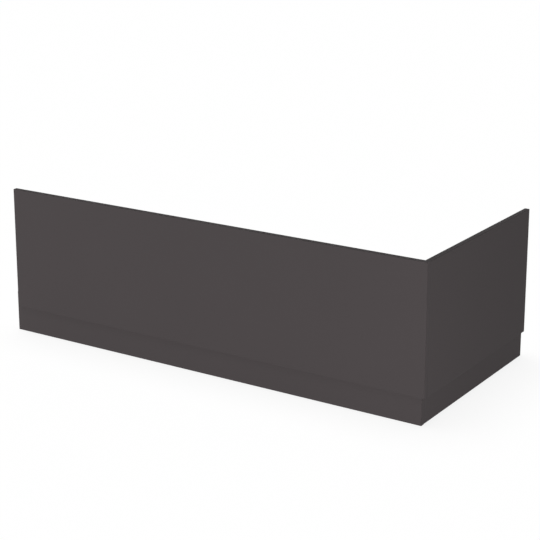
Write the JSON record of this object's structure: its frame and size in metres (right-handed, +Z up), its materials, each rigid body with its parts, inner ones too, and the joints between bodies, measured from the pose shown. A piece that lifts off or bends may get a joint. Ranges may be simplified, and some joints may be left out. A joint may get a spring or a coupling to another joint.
{
  "type": "bath panel",
  "caption": "L-shaped bath panel set: a long front board and a shorter end board meet at a square corner, each standing on a set-back plinth board to hide the space under a bath.",
  "frame": {"origin": "middle of the underside of the set's bounding box, on the floor", "axes": "+X along the front panel towards the corner, +Y from the front panel towards the free end of the end panel, +Z up"},
  "size_m": [1.718, 0.786, 0.55],
  "materials": {
    "panel_board": "matte",
    "block_plastic": "satin"
  },
  "bodies": {
    "root": {"front_panel": "panel_board", "end_panel": "panel_board", "front_plinth": "panel_board", "end_plinth": "panel_board", "corner_block_upper": "block_plastic", "corner_block_lower": "block_plastic", "corner_block_plinth": "block_plastic"}
  },
  "joints": []
}
